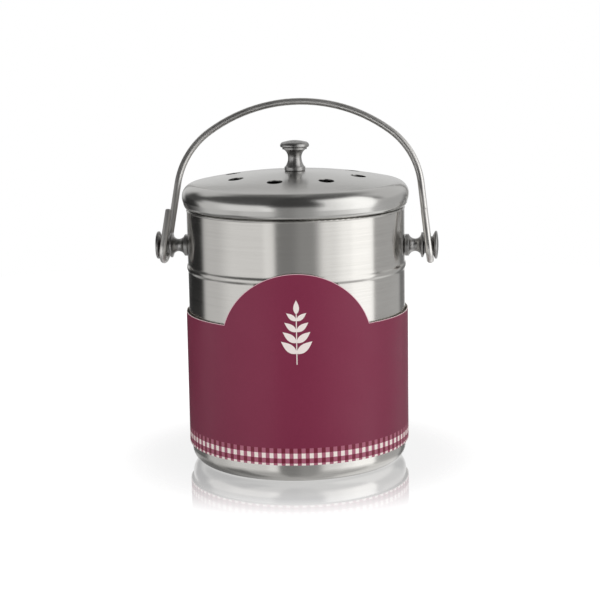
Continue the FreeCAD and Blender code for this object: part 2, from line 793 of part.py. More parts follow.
def make_label_sleeve(doc, d):
    """Card band round the lower body with an arched tab in front."""
    body = new_body(doc, "label_sleeve")
    inner = d.body_radius + d.bead_proud + d.sleeve_clearance
    outer = inner + d.sleeve_card
    tab_top = bead_height(d) + d.sleeve_tab_over
    band_top = tab_top - d.sleeve_tab_rise
    band = Outline(body, "sleeve_section", "XZ_Plane", inner, d.sleeve_bottom)
    band.line(outer, d.sleeve_bottom)
    band.line(outer, tab_top)
    band.line(inner, tab_top)
    revolve(body, band)

    beyond = outer * 2
    above = tab_top + band_top
    tab = bulge_radius(d.sleeve_tab_half_width, d.sleeve_tab_rise)
    front = Outline(body, "tab_cut", "XZ_Plane", -beyond, band_top)
    front.line(-d.sleeve_tab_half_width, band_top)
    front.arc(d.sleeve_tab_half_width, band_top, tab, RIGHT)
    front.line(beyond, band_top)
    front.line(beyond, above)
    front.line(-beyond, above)
    cut_through(body, front.close(), "One side", backwards=True)

    rear = Outline(body, "rear_cut", "XZ_Plane", -beyond, band_top)
    rear.line(beyond, band_top)
    rear.line(beyond, above)
    rear.line(-beyond, above)
    cut_through(body, rear.close(), "One side")
    return place(body, angle=d.sleeve_turn)


def check(doc, pieces):
    """Stop if any object failed or any piece is not one sound solid."""
    for item in doc.Objects:
        if "Invalid" in item.State or "Error" in item.State:
            raise RuntimeError("{} failed: {}".format(item.Name, item.State))
    for piece in pieces:
        shape = piece.Shape
        if shape.isNull() or not shape.isValid() or len(shape.Solids) != 1:
            raise RuntimeError("{} is not one valid solid".format(piece.Label))


def main():
    doc = FreeCAD.newDocument("compost_bin")
    d = Dimensions(doc)
    pieces = [make_bin_body(doc, d), make_label_sleeve(doc, d), make_bail_handle(doc, d)]
    pieces += make_stud_set(doc, d)
    pieces += [make_lid_shell(doc, d), make_lid_plug_ring(doc, d), make_lid_knob(doc, d)]
    pieces += make_knob_fixing(doc, d)
    pieces += [make_filter_cage(doc, d), make_carbon_filter(doc, d)]
    doc.recompute()
    check(doc, pieces)
    os.makedirs("parts", exist_ok=True)
    for piece in pieces:
        box = piece.Shape.BoundBox
        print("{:18s} {:9.1f} mm3  x {:7.2f} {:7.2f}  y {:7.2f} {:7.2f}  z {:7.2f} {:7.2f}".format(
            piece.Label, piece.Shape.Volume, box.XMin, box.XMax, box.YMin, box.YMax, box.ZMin, box.ZMax))
        piece.Shape.exportStep(os.path.join("parts", piece.Label + ".step"))


main()
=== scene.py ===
"""Kitchen compost bin: finishes, printed card sleeve, charcoal foam and the studio round them."""
from __future__ import annotations

import json
import logging
import math
from dataclasses import dataclass
from enum import Enum
from itertools import accumulate
from typing import Any

import bmesh
import bpy
from bpy.types import ID, Material, Mesh, Node, NodeOutputs, NodeSocket, NodeTree, Object
from mathutils import Matrix, Vector, noise

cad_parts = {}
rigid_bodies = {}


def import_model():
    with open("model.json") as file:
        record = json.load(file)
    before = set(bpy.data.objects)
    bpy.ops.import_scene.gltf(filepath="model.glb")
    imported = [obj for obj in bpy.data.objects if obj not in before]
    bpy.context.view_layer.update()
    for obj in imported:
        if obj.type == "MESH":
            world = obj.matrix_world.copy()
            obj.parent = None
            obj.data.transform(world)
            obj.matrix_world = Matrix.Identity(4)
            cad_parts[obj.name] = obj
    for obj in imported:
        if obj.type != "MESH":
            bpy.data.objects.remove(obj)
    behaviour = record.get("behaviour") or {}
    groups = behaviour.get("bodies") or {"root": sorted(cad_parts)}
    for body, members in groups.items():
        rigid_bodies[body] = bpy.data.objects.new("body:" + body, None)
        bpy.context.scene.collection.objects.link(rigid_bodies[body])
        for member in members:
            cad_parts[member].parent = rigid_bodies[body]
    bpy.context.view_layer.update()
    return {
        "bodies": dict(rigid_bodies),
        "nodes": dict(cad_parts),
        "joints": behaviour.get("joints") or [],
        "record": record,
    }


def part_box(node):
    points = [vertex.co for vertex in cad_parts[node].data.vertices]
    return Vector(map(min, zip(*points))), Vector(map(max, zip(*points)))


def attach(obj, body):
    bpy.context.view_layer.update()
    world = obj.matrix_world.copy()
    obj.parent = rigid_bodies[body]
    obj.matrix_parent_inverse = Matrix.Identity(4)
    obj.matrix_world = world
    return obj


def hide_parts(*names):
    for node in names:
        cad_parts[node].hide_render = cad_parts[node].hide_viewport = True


MM = 0.001
PER_MM = (1.0 / MM, 1.0 / MM, 1.0 / MM)
# Height of the studs' axis above the table, and how far the sleeve's tab is turned to the right.
STUD_AXIS_MM = 131.5
SLEEVE_TURN_DEG = 5.5
# Most of a noise pattern's values lie between these two.
NOISE_LOW = 0.3
NOISE_HIGH = 0.7
# A share of a full turn, which lays the smear of a reflection across the rings of the metal.
SMEAR_TURN = 0.25
LOG = logging.getLogger("compost_bin")


def hex_colour(code: str) -> tuple[float, float, float, float]:
    """Turn an sRGB hex value into the linear colour that Blender's sockets take.

    Args:
        code: six hex digits, with or without a leading hash sign.

    Returns:
        Red, green, blue and an alpha of one.
    """
    digits = code.lstrip("#")
    linear = []
    for start in (0, 2, 4):
        value = int(digits[start:start + 2], 16) / 255.0
        low = value / 12.92
        high = ((value + 0.055) / 1.055) ** 2.4
        linear.append(low if value <= 0.04045 else high)
    return linear[0], linear[1], linear[2], 1.0


def add_node(tree: NodeTree, kind: str, inputs: dict | None = None, **settings: Any) -> Node:
    """Add one node to a tree, with its settings, its socket values and its links.

    Args:
        tree: the shader or geometry tree that gets the node.
        kind: the node's type name.
        inputs: socket name or index, with a value to set, or with an output socket or a node
            to link. A node stands for the first of its outputs that is in use.
        settings: properties of the node itself.

    Returns:
        The new node.
    """
    node = tree.nodes.new(kind)
    for key, value in settings.items():
        setattr(node, key, value)
    for key, value in (inputs or {}).items():
        source = value
        if isinstance(value, Node):
            source = next(socket for socket in value.outputs if socket.enabled)
        if isinstance(source, NodeSocket):
            tree.links.new(source, node.inputs[key])
        else:
            node.inputs[key].default_value = source
    return node


def blank_material(name: str) -> tuple[Material, NodeTree]:
    """Make a material with an empty shader tree.

    Args:
        name: the material's name.

    Returns:
        The material and its tree.
    """
    material = bpy.data.materials.new(name)
    material.use_nodes = True
    material.node_tree.nodes.clear()
    return material, material.node_tree


def seen_directly(tree: NodeTree) -> Node:
    """Tell rays that show a surface, straight or in a mirror, from those that only carry light.

    Args:
        tree: the shader tree that asks.

    Returns:
        A node that gives one for such a ray and zero for any other.
    """
    path = add_node(tree, "ShaderNodeLightPath").outputs
    seen = path["Is Camera Ray"]
    for kind in ("Is Glossy Ray", "Is Transmission Ray"):
        seen = add_node(tree, "ShaderNodeMath", {0: seen, 1: path[kind]}, operation="MAXIMUM")
    return seen


class Axis(Enum):
    """The line that a piece was spun or turned round."""

    UPRIGHT = (0.0, 0.0, 0.0)
    CROSSWISE = (0.0, math.radians(-90.0), 0.0)


@dataclass(frozen=True)
class Finish:
    """What every finish shares: its name, and one principled shader that its patterns lead to."""

    name: str

    def patterns(self, tree: NodeTree) -> dict[str, Any]:
        """Lay out the patterns, which each kind of finish does in its own way.

        Args:
            tree: the shader tree.

        Returns:
            The principled shader's inputs.
        """
        raise NotImplementedError

    def make(self) -> Material:
        """Build the material.

        Returns:
            The finished material.
        """
        material, tree = blank_material(self.name)
        shader = add_node(tree, "ShaderNodeBsdfPrincipled", self.patterns(tree))
        add_node(tree, "ShaderNodeOutputMaterial", {"Surface": shader})
        return material


@dataclass(frozen=True)
class Toned(Finish):
    """A finish of two close tones: one pattern mixes them and sets the gloss, one gives relief."""

    colour: str
    second_colour: str
    roughness: float
    relief_mm: float
    # These belong to the kind of finish, so they are values of the class and not fields.
    pattern_span = (NOISE_LOW, NOISE_HIGH)
    gloss_span = (0.88, 1.12)
    relief_share = 0.4

    def tone(self, tree: NodeTree, pattern: Node, relief: Node) -> dict[str, Any]:
        """Mix the tones, and set the gloss and the relief.

        Args:
            tree: the shader tree.
            pattern: the node of the pattern in tone and gloss.
            relief: the node of the pattern in relief.

        Returns:
            The principled shader's colour, roughness and normal.
        """
        tint = add_node(tree, "ShaderNodeMix", {
            0: pattern,
            6: hex_colour(self.second_colour),
            7: hex_colour(self.colour),
        }, data_type="RGBA")
        rough = add_node(tree, "ShaderNodeMapRange", {
            0: pattern,
            1: self.pattern_span[0],
            2: self.pattern_span[1],
            3: self.roughness * self.gloss_span[0],
            4: min(1.0, self.roughness * self.gloss_span[1]),
        })
        bump = add_node(tree, "ShaderNodeBump", {
            "Strength": self.relief_share,
            "Distance": self.relief_mm * MM,
            "Height": relief,
        })
        return {"Base Color": tint, "Roughness": rough, "Normal": bump}


@dataclass(frozen=True)
class SpunSteel(Toned):
    """Stainless steel worked round an axis: fine rings that draw reflections out across them."""

    anisotropy: float
    line_mm: float
    axis: Axis = Axis.UPRIGHT
    height_mm: float = 0.0
    cloud_mm: float = 25.0
    cloud_share: float = 0.3
    gloss_span = (0.82, 1.18)
    relief_share = 0.35

    def patterns(self, tree: NodeTree) -> dict[str, Any]:
        """Lay out the rings and the cloudy patches.

        Args:
            tree: the shader tree.

        Returns:
            The principled shader's inputs.
        """
        place = add_node(tree, "ShaderNodeTexCoord").outputs["Object"]
        shift = add_node(tree, "ShaderNodeVectorMath", {
            0: place,
            1: (0.0, 0.0, self.height_mm * MM),
        }, operation="SUBTRACT")
        turned = add_node(tree, "ShaderNodeMapping", {
            "Vector": shift,
            "Rotation": self.axis.value,
            "Scale": PER_MM,
        })
        parts = add_node(tree, "ShaderNodeSeparateXYZ", {0: turned}).outputs
        flat = add_node(tree, "ShaderNodeCombineXYZ", {0: parts["X"], 1: parts["Y"]})
        radius = add_node(tree, "ShaderNodeVectorMath", {0: flat}, operation="LENGTH")
        unit = add_node(tree, "ShaderNodeVectorMath", {0: flat}, operation="NORMALIZE")
        # The rings are closer than a pixel on the real piece, and are drawn at line_mm to show.
        ring = add_node(tree, "ShaderNodeMath", {0: radius, 1: self.line_mm}, operation="DIVIDE")
        along = add_node(tree, "ShaderNodeMath", {0: parts["Z"], 1: self.line_mm}, operation="DIVIDE")
        lift = add_node(tree, "ShaderNodeCombineXYZ", {2: ring})
        weave = add_node(tree, "ShaderNodeVectorMath", {0: unit, 1: lift}, operation="ADD")
        lines = add_node(tree, "ShaderNodeTexNoise", {
            "Vector": weave,
            "W": along,
            "Scale": 1.0,
            "Detail": 3.0,
            "Roughness": 0.6,
        }, noise_dimensions="4D")
        # Handling leaves broad, barely seen cloudy patches.
        cloud = add_node(tree, "ShaderNodeTexNoise", {
            "Vector": turned,
            "Scale": 1.0 / self.cloud_mm,
            "Detail": 2.0,
        })
        blend = add_node(tree, "ShaderNodeMix", {0: self.cloud_share, 2: lines, 3: cloud})
        axis = "Z" if self.axis is Axis.UPRIGHT else "X"
        grain = add_node(tree, "ShaderNodeTangent", direction_type="RADIAL", axis=axis)
        return self.tone(tree, blend, lines) | {
            "Metallic": 1.0,
            "Anisotropic": self.anisotropy,
            "Anisotropic Rotation": SMEAR_TURN,
            "Tangent": grain,
        }


@dataclass(frozen=True)
class DrawnWire(Toned):
    """Bright drawn stainless wire: smooth and polished, with a fine grain and soft dull rubs."""

    rub_mm: float
    grain_mm: float
    pattern_span = (0.35, 0.7)
    gloss_span = (0.85, 1.25)
    relief_share = 0.03

    def patterns(self, tree: NodeTree) -> dict[str, Any]:
        """Lay out the rubs and the polishing grain.

        Args:
            tree: the shader tree.

        Returns:
            The principled shader's inputs.
        """
        place = add_node(tree, "ShaderNodeTexCoord").outputs["Object"]
        # Rubs from hands, so soft that the wire still reads as smooth.
        rubs = add_node(tree, "ShaderNodeTexNoise", {
            "Vector": place,
            "Scale": 1.0 / (self.rub_mm * MM),
            "Detail": 1.0,
        })
        # The grain is coarser than the real one, and just deep enough to soften the gloss.
        grain = add_node(tree, "ShaderNodeTexNoise", {
            "Vector": place,
            "Scale": 1.0 / (self.grain_mm * MM),
            "Detail": 0.0,
        })
        return self.tone(tree, rubs, grain) | {"Metallic": 1.0}


@dataclass(frozen=True)
class PrintedCard(Finish):
    """Coated carton board, printed maroon with a gingham strip, bare white at its cut edges."""

    field: str
    field_shade: str
    board: str
    line: str
    check_light: str
    check_middle: str
    check_dark: str
    turn_deg: float
    outer_radius_mm: float
    bottom_mm: float
    band_top_mm: float
    arch_radius_mm: float
    arch_centre_mm: float
    line_mm: float
    check_count: int
    check_rows_mm: tuple[float, float, float, float]
    check_shift: float = 0.625
    print_depth_mm: float = 0.06
    fibre_mm: float = 1.1111
    mottle_mm: float = 0.8
    drift_mm: float = 30.0
    roughness: tuple[float, float] = (0.36, 0.46)
    relief_mm: float = 0.03
    relief_share: float = 0.08
    varnish: float = 0.32

    def patterns(self, tree: NodeTree) -> dict[str, Any]:
        """Lay out the print, its bare edges and the unevenness of ink on board.

        Args:
            tree: the shader tree.

        Returns:
            The principled shader's inputs.
        """
        place = add_node(tree, "ShaderNodeTexCoord").outputs["Object"]
        turned = add_node(tree, "ShaderNodeMapping", {
            "Vector": place,
            "Rotation": (0.0, 0.0, -math.radians(self.turn_deg)),
            "Scale": PER_MM,
        })
        parts = add_node(tree, "ShaderNodeSeparateXYZ", {0: turned}).outputs
        printed = self.lay_checks(tree, place, parts)
        lined = self.lay_line(tree, printed, parts)
        bare = self.bare_edges(tree, lined, parts)
        # Fibres and press mottle give the relief, and slow drifts the gloss.
        mottle = add_node(tree, "ShaderNodeTexNoise", {
            "Vector": turned,
            "Scale": 1.0 / self.mottle_mm,
            "Detail": 4.0,
        })
        drift = add_node(tree, "ShaderNodeTexNoise", {
            "Vector": turned,
            "Scale": 1.0 / self.drift_mm,
            "Detail": 1.0,
        })
        rough = add_node(tree, "ShaderNodeMapRange", {
            0: drift,
            1: NOISE_LOW,
            2: NOISE_HIGH,
            3: self.roughness[0],
            4: self.roughness[1],
        })
        bump = add_node(tree, "ShaderNodeBump", {
            "Strength": self.relief_share,
            "Distance": self.relief_mm * MM,
            "Height": mottle,
        })
        return {
            "Base Color": bare,
            "Roughness": rough,
            "Normal": bump,
            "Specular IOR Level": self.varnish,
        }

    def lay_checks(self, tree: NodeTree, place: NodeSocket, parts: NodeOutputs) -> Node:
        """Print the maroon field and the gingham strip along its lower edge.

        Args:
            tree: the shader tree.
            place: the place in metres.
            parts: the place in millimetres, turned with the sleeve, as X, Y and Z.

        Returns:
            A node that gives the printed colour.
        """
        fibres = add_node(tree, "ShaderNodeTexNoise", {
            "Vector": place,
            "Scale": 1.0 / (self.fibre_mm * MM),
            "Detail": 2.0,
        })
        colour = add_node(tree, "ShaderNodeMix", {
            0: fibres,
            6: hex_colour(self.field_shade),
            7: hex_colour(self.field),
        }, data_type="RGBA")
        front = add_node(tree, "ShaderNodeMath", {0: parts["Y"], 1: -1.0}, operation="MULTIPLY")
        angle = add_node(tree, "ShaderNodeMath", {0: parts["X"], 1: front}, operation="ARCTAN2")
        step = add_node(tree, "ShaderNodeMath", {
            0: angle,
            1: self.check_count / math.tau,
            2: self.check_count * 0.5 + self.check_shift,
        }, operation="MULTIPLY_ADD")
        column = add_node(tree, "ShaderNodeMath", {0: step}, operation="FRACT")
        pale = add_node(tree, "ShaderNodeMath", {0: column, 1: 0.5}, operation="LESS_THAN")
        rows = []
        for dark, light in (
            (self.check_dark, self.check_middle),
            (self.check_middle, self.check_light),
        ):
            rows.append(add_node(tree, "ShaderNodeMix", {
                0: pale,
                6: hex_colour(dark),
                7: hex_colour(light),
            }, data_type="RGBA"))
        # The rows are laid from the top one down, dark and light by turns.
        edges = list(accumulate(self.check_rows_mm, initial=self.bottom_mm))[1:]
        for edge, row in zip(reversed(edges), rows * 2):
            under = add_node(tree, "ShaderNodeMath", {0: parts["Z"], 1: edge}, operation="LESS_THAN")
            colour = add_node(tree, "ShaderNodeMix", {0: under, 6: colour, 7: row}, data_type="RGBA")
        return colour

    def lay_line(self, tree: NodeTree, colour: Node, parts: NodeOutputs) -> Node:
        """Lay a thin pale line, the same all round, along the band's top edge and the arch of the tab.

        Args:
            tree: the shader tree.
            colour: the node of the colour printed so far.
            parts: the place in millimetres, turned with the sleeve, as X, Y and Z.

        Returns:
            A node that gives the colour with the line on it.
        """
        rise = add_node(tree, "ShaderNodeMath", {
            0: parts["Z"],
            1: self.arch_centre_mm,
        }, operation="SUBTRACT")
        spread = add_node(tree, "ShaderNodeCombineXYZ", {0: parts["X"], 1: rise})
        reach = add_node(tree, "ShaderNodeVectorMath", {0: spread}, operation="LENGTH")
        inside = add_node(tree, "ShaderNodeMath", {
            0: self.arch_radius_mm,
            1: reach,
        }, operation="SUBTRACT")
        below = add_node(tree, "ShaderNodeMath", {
            0: self.band_top_mm,
            1: parts["Z"],
        }, operation="SUBTRACT")
        edge = add_node(tree, "ShaderNodeMath", {0: inside, 1: below}, operation="MAXIMUM")
        front = add_node(tree, "ShaderNodeMath", {0: parts["Y"], 1: 0.0}, operation="LESS_THAN")
        chosen = add_node(tree, "ShaderNodeMix", {0: front, 2: below, 3: edge})
        # Pale colour within line_mm of the cut edge, the same on every side.
        near = add_node(tree, "ShaderNodeMath", {0: chosen, 1: self.line_mm}, operation="LESS_THAN")
        return add_node(tree, "ShaderNodeMix", {
            0: near,
            6: colour,
            7: hex_colour(self.line),
        }, data_type="RGBA")

    def bare_edges(self, tree: NodeTree, colour: Node, parts: NodeOutputs) -> Node:
        """Leave the board unprinted on its cut edges and on its inner face.

        Args:
            tree: the shader tree.
            colour: the node of the printed colour.
            parts: the place in millimetres, turned with the sleeve, as X, Y and Z.

        Returns:
            A node that gives the colour with bare board where there is no print.
        """
        flat = add_node(tree, "ShaderNodeCombineXYZ", {0: parts["X"], 1: parts["Y"]})
        radius = add_node(tree, "ShaderNodeVectorMath", {0: flat}, operation="LENGTH")
        inner = add_node(tree, "ShaderNodeMath", {
            0: radius,
            1: self.outer_radius_mm - self.print_depth_mm,
        }, operation="LESS_THAN")
        return add_node(tree, "ShaderNodeMix", {
            0: inner,
            6: colour,
            7: hex_colour(self.board),
        }, data_type="RGBA")


@dataclass(frozen=True)
class Grained(Toned):
    """A moulded, plated, foamed or inked surface: one fine grain in its colour, gloss and relief."""

    grain_mm: float
    metallic: float = 0.0

    def patterns(self, tree: NodeTree) -> dict[str, Any]:
        """Lay out the grain.

        Args:
            tree: the shader tree.

        Returns:
            The principled shader's inputs.
        """
        place = add_node(tree, "ShaderNodeTexCoord").outputs["Object"]
        grain = add_node(tree, "ShaderNodeTexNoise", {
            "Vector": place,
            "Scale": 1.0 / (self.grain_mm * MM),
            "Detail": 4.0,
        })
        return self.tone(tree, grain, grain) | {"Metallic": self.metallic}


# Deep-drawn 18/10 stainless, satin-brushed round the body: reflections smear up and down into
# tall bands.
BODY_STEEL = SpunSteel(
    "stainless_satin_drawn", "#D0CECA", "#B4B2AE",
    roughness=0.20, relief_mm=0.002, anisotropy=0.86, line_mm=0.8,
)
# Spun lid of the same sheet, a little softer in gloss from the polishing wheel.
LID_STEEL = SpunSteel(
    "stainless_satin_spun", "#C9C8C5", "#BFBEBB",
    roughness=0.22, relief_mm=0.002, anisotropy=0.5, line_mm=0.7,
)
# Turned and tumbled stainless: fine lathe rings under a dull grey skin.
KNOB_STEEL = SpunSteel(
    "stainless_turned_knob", "#AFAEAC", "#9C9B9A",
    roughness=0.34, relief_mm=0.006, anisotropy=0.3, line_mm=0.5,
)
STUD_STEEL = SpunSteel(
    "stainless_turned_stud", "#B1B0AE", "#9D9C9B",
    roughness=0.34, relief_mm=0.006, anisotropy=0.3, line_mm=0.5,
    axis=Axis.CROSSWISE, height_mm=STUD_AXIS_MM,
)
# Drawn stainless wire, polished: dark above where it mirrors the unlit ceiling, pale below.
BAIL_WIRE = DrawnWire(
    "stainless_drawn_wire", "#E2E0DD", "#D6D4D1",
    roughness=0.40, relief_mm=0.001, rub_mm=22.0, grain_mm=0.5,
)
# Bright zinc plate over steel: bluish, a little cloudy.
ZINC = Grained(
    "zinc_plated_steel", "#C5CAD0", "#A9AFB6",
    roughness=0.34, relief_mm=0.004, grain_mm=0.6, metallic=1.0,
)
# Coated carton board with a satin varnish over maroon ink.
CARD = PrintedCard(
    name="carton_board_maroon",
    field="#7C2443",
    field_shade="#74203D",
    board="#EFE9E1",
    line="#D8A9B5",
    check_light="#F3E7E1",
    check_middle="#A75F75",
    check_dark="#701B33",
    turn_deg=SLEEVE_TURN_DEG,
    outer_radius_mm=67.65,
    bottom_mm=11.8,
    band_top_mm=92.9,
    arch_radius_mm=44.0,
    arch_centre_mm=80.74,
    line_mm=0.3,
    check_count=90,
    check_rows_mm=(1.2, 3.0, 3.0, 3.0),
)
# Off-white ink, overprinted on the maroon.
WHITE_INK = Grained(
    "offset_ink_white", "#F1E8E3", "#E4D8D3", roughness=0.45, relief_mm=0.002, grain_mm=0.7
)
# Injection-moulded polypropylene with a fine spark-eroded grain.
POLYPROPYLENE = Grained(
    "polypropylene_black", "#1B1B1C", "#242425", roughness=0.48, relief_mm=0.02, grain_mm=0.45
)
# Open-cell foam loaded with charcoal: dull black with pores of about a millimetre.
CHARCOAL_FOAM = Grained(
    "charcoal_foam", "#101011", "#232324", roughness=0.95, relief_mm=0.35, grain_mm=1.1
)


def dress(frame: dict, material: Material, *nodes: str) -> None:
    """Give CAD nodes a finish in their own material slots.

    Args:
        material: the finish.
        nodes: names of the nodes that take it.
    """
    for name in nodes:
        for slot in frame["nodes"][name].material_slots:
            slot.material = material
        LOG.info("dressed %s in %s", name, material.name)


def put_in_scene(name: str, data: ID) -> Object:
    """Put a mesh, a lamp or a camera into the scene as an object at the origin.

    Args:
        name: the object's name.
        data: its mesh, lamp or camera.

    Returns:
        The new object.
    """
    piece = bpy.data.objects.new(name, data)
    bpy.context.scene.collection.objects.link(piece)
    return piece


def plain_mesh(name: str, shape: bmesh.types.BMesh) -> Mesh:
    """Turn a finished shape into a mesh and let the shape go.

    Args:
        name: the mesh's name.
        shape: the shape.

    Returns:
        The mesh.
    """
    mesh = bpy.data.meshes.new(name)
    shape.to_mesh(mesh)
    shape.free()
    return mesh


def geometry_tree(name: str, inputs: dict[str, str]) -> tuple[NodeTree, NodeOutputs]:
    """Start a geometry tree with named inputs and one geometry output.

    Args:
        name: the tree's name.
        inputs: each input's name, with its kind of socket.

    Returns:
        The tree and its inputs by name.
    """
    tree = bpy.data.node_groups.new(name, "GeometryNodeTree")
    for title, kind in inputs.items():
        tree.interface.new_socket(title, in_out="INPUT", socket_type=f"NodeSocket{kind}")
    tree.interface.new_socket("Geometry", in_out="OUTPUT", socket_type="NodeSocketGeometry")
    return tree, add_node(tree, "NodeGroupInput").outputs


def grow(piece: Object, tree: NodeTree, values: dict[str, Any]) -> None:
    """Run a geometry tree on a piece and keep its result as the piece's own mesh.

    Args:
        piece: the piece, whose mesh the tree may read.
        tree: the geometry tree.
        values: the tree's inputs by name.
    """
    modifier = piece.modifiers.new(tree.name, "NODES")
    modifier.node_group = tree
    for socket in tree.interface.items_tree:
        if socket.in_out == "INPUT" and socket.name in values:
            modifier[socket.identifier] = values[socket.name]
    shown = piece.evaluated_get(bpy.context.evaluated_depsgraph_get())
    mesh = bpy.data.meshes.new_from_object(shown)
    piece.modifiers.remove(modifier)
    piece.data = mesh
    mesh.name = piece.name


@dataclass
class SteelBody:
    """The drawn body."""

    node: str = "bin_body"

    def build(self, frame: dict) -> None:
        """Dress the body."""
        dress(frame, BODY_STEEL.make(), self.node)


@dataclass
class Handle:
    """The wire bail, its two turned studs and what holds them from inside."""

    sides: tuple[str, str] = ("left", "right")
    axis_mm: float = STUD_AXIS_MM
    groove_mm: float = 80.25
    hook_mm: float = 7.6
    hook_drop_mm: float = 1.6
    tail_mm: float = 18.9
    lean_deg: float = 7.1
    rise_mm: float = 91.4
    spread_mm: float = 13.5
    corner_mm: float = 48.5
    rest_deg: float = 18.0
    wire_mm: float = 4.2
    end_edge_mm: float = 0.9
    end_steps: int = 5
    step_deg: float = 3.0
    wire_sides: int = 28

    def build(self, frame: dict) -> None:
        """Dress the studs and their fixings, and sweep the bail's wire.
        """
        studs = STUD_STEEL.make()
        zinc = ZINC.make()
        for side in self.sides:
            dress(frame, studs, f"{side}_handle_stud")
            dress(frame, zinc, f"{side}_stud_washer", f"{side}_stud_screw")
        wire = self.swept_wire(BAIL_WIRE.make())
        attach(wire, "bail")
        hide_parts("bail_handle")
        LOG.info("swept %s with %d faces", wire.name, len(wire.data.polygons))

    def arc(self, centre: Vector, first: Vector, last: Vector, radius: float) -> list[Vector]:
        """Give points on an arc between two directions from its centre.

        Args:
            centre: the arc's centre.
            first: unit direction to its start.
            last: unit direction to its end, less than half a turn on.
            radius: its radius.

        Returns:
            Points from start to end, both included.
        """
        turn = first.angle(last)
        steps = max(2, math.ceil(math.degrees(turn) / self.step_deg))
        points = []
        for step in range(steps + 1):
            share = step / steps
            direction = first * math.sin(turn * (1.0 - share)) + last * math.sin(turn * share)
            points.append(centre + direction / math.sin(turn) * radius)
        return points

    def half_line(self) -> list[tuple[Vector, float]]:
        """Lay out the right half of the upright bail: crown, corner, leg, hook, tail and cut end.

        Returns:
            Points of the centreline in millimetres about the stud axis, each with its share of
            the full radius.
        """
        lean = math.radians(self.lean_deg)
        up = Vector((-math.sin(lean), 0.0, math.cos(lean)))
        inboard = Vector((-math.cos(lean), 0.0, -math.sin(lean)))
        rear = Vector((0.0, 1.0, 0.0))
        back = rear * self.hook_mm
        groove = Vector((self.groove_mm, 0.0, 0.0))
        bend = groove - up * self.hook_drop_mm
        crown = self.groove_mm + self.spread_mm
        crown_centre = Vector((0.0, 0.0, self.rise_mm - crown))
        # The corner arc touches the leg and the crown arc, so its centre is one corner radius
        # inboard of the leg and the difference of the two radii from the crown's centre.
        reach = groove + inboard * self.corner_mm - crown_centre
        half = reach.dot(up)
        along = math.sqrt(half ** 2 - reach.length_squared + (crown - self.corner_mm) ** 2) - half
        corner_centre = groove + inboard * self.corner_mm + up * along
        outwards = (corner_centre - crown_centre).normalized()
        line = self.arc(crown_centre + back, Vector((0.0, 0.0, 1.0)), outwards, crown)
        line += self.arc(corner_centre + back, outwards, -inboard, self.corner_mm)[1:]
        line += self.arc(bend, rear, -up, self.hook_mm)
        line += self.arc(bend, -up, -rear, self.hook_mm)[1:]
        points = [(point, 1.0) for point in line]
        radius = self.wire_mm / 2.0
        tip = groove - back + up * (self.tail_mm + radius - self.end_edge_mm)
        for step in range(self.end_steps + 1):
            turn = math.radians(90.0 * step / self.end_steps)
            share = 1.0 - self.end_edge_mm * (1.0 - math.cos(turn)) / radius
            points.append((tip + up * (self.end_edge_mm * math.sin(turn)), share))
        return points

    def swept_wire(self, steel: Material) -> Object:
        """Sweep a round section along the bail's line, at its resting lean.

        Args:
            steel: the wire's material.

        Returns:
            The wire.
        """
        right = self.half_line()
        left = [(Vector((-point.x, point.y, point.z)), share) for point, share in reversed(right[1:])]
        leaned = Matrix.Rotation(math.radians(-self.rest_deg), 4, "X")
        rest = Matrix.Translation((0.0, 0.0, self.axis_mm)) @ leaned
        whole = left + right
        mesh = bpy.data.meshes.new("bail_line")
        mesh.from_pydata(
            [(rest @ point) * MM for point, _ in whole],
            [(number, number + 1) for number in range(len(whole) - 1)],
            [],
        )
        shares = mesh.attributes.new("swell", "FLOAT", "POINT")
        shares.data.foreach_set("value", [share for _, share in whole])
        wire = put_in_scene("bail_wire", mesh)
        values = {"Wire Radius": self.wire_mm / 2.0 * MM, "Sides": self.wire_sides}
        grow(wire, self.sweep_tree(steel), values)
        return wire

    def sweep_tree(self, steel: Material) -> NodeTree:
        """Build the tree that turns a line into a round wire.

        Args:
            steel: the wire's material.

        Returns:
            The geometry tree.
        """
        kinds = {"Geometry": "Geometry", "Wire Radius": "Float", "Sides": "Int"}
        tree, given = geometry_tree("round_wire", kinds)
        line = add_node(tree, "GeometryNodeMeshToCurve", {"Mesh": given["Geometry"]})
        ring = add_node(tree, "GeometryNodeCurvePrimitiveCircle", {
            "Resolution": given["Sides"],
            "Radius": given["Wire Radius"],
        })
        swell = add_node(tree, "GeometryNodeInputNamedAttribute", {"Name": "swell"}, data_type="FLOAT")
        tube = add_node(tree, "GeometryNodeCurveToMesh", {
            "Curve": line,
            "Profile Curve": ring,
            "Scale": swell,
            "Fill Caps": True,
        })
        smooth = add_node(tree, "GeometryNodeSetShadeSmooth", {"Geometry": tube})
        plain = add_node(tree, "GeometryNodeRealizeInstances", {0: smooth})
        clad = add_node(tree, "GeometryNodeSetMaterial", {"Geometry": plain, "Material": steel})
        add_node(tree, "NodeGroupOutput", {0: clad})
        return tree


@dataclass
class Lid:
    """The vented lid with its plug ring, knob and knob fixings."""

    sheet_nodes: tuple[str, str] = ("lid_shell", "lid_plug_ring")
    knob_node: str = "lid_knob"
    fixing_nodes: tuple[str, str] = ("knob_washer", "knob_screw")

    def build(self, frame: dict) -> None:
        """Dress the lid's pieces, with the zinc that the handle's fixings also wear.
        """
        dress(frame, LID_STEEL.make(), *self.sheet_nodes)
        dress(frame, KNOB_STEEL.make(), self.knob_node)
        dress(frame, bpy.data.materials[ZINC.name], *self.fixing_nodes)


